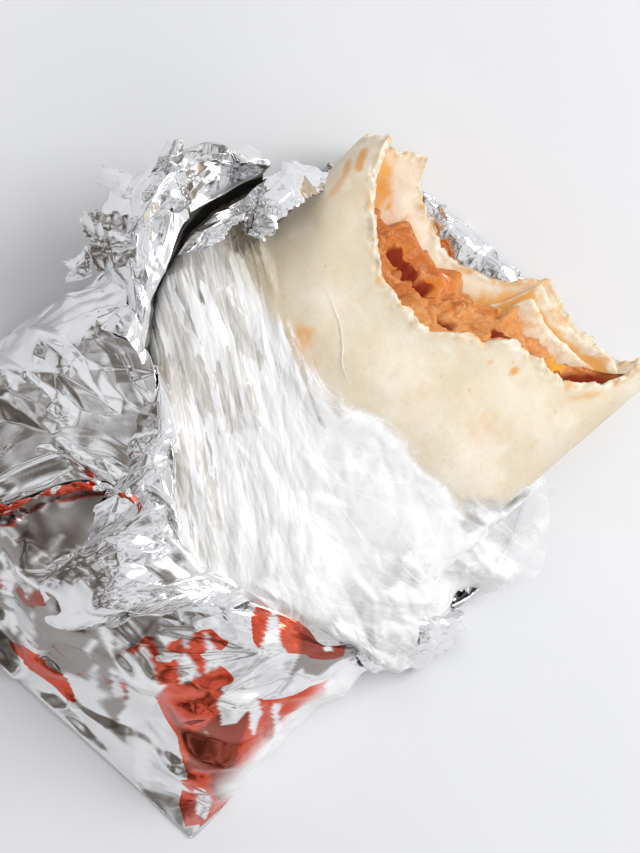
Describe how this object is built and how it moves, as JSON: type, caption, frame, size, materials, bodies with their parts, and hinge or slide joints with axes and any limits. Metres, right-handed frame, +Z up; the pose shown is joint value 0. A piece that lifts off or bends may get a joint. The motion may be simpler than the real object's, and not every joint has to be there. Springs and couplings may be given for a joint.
{
  "type": "burrito",
  "caption": "Bitten flour-tortilla burrito with a bean and cheese filling, its far end still inside bunched cling film and a crumpled, peeled-back foil pouch.",
  "frame": {"origin": "on the table, under the middle of the whole part", "axes": "+X runs along the burrito to its bitten end, +Y across it towards the pouch's flared side, +Z up"},
  "size_m": [0.1824, 0.1446, 0.0487],
  "materials": {
    "tortilla": "soft flour tortilla, pale cream with faint browned spots",
    "filling": "moist refried beans and melted cheese",
    "cling_film": "clear film, milky where it is bunched",
    "foil": "crumpled metallised foil, silver inside, glossy red and silver fields outside"
  },
  "bodies": {
    "root": {"tortilla": "tortilla", "filling": "filling", "cling_film": "cling_film", "foil_pouch": "foil"}
  },
  "joints": []
}
